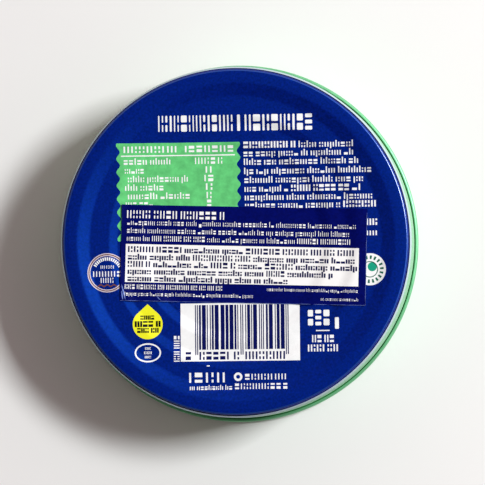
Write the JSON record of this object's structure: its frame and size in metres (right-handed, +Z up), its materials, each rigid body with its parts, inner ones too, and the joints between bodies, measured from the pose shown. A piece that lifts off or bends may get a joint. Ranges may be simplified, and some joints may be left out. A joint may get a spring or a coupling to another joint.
{
  "type": "round fish tin",
  "caption": "Shallow round tin of matjes herring lying lid down: stepped printed bottom, tapered wall, double-seamed lid with a ring-pull tab, and a paper sticker.",
  "frame": {"origin": "centre of the seam's flat face, on which the tin lies", "axes": "+Z up along the tin's axis, from the lid to the stepped bottom; +X along the sticker's long side, to the right in the picture; +Y to the picture's top"},
  "size_m": [0.112, 0.112, 0.03],
  "materials": {
    "can_lacquer": "blue lacquered tinplate with printed fields, satin to glossy; the wall below the bottom's edge is pale green",
    "lid_lacquer": "mid-green lacquer, glossy",
    "tab_metal": "bare rolled aluminium, satin",
    "label_paper": "coated navy paper, satin, with a white cut edge"
  },
  "bodies": {
    "root": {"tin_body": "can_lacquer", "lid": "lid_lacquer", "pull_tab": "tab_metal", "label": "label_paper"}
  },
  "joints": []
}
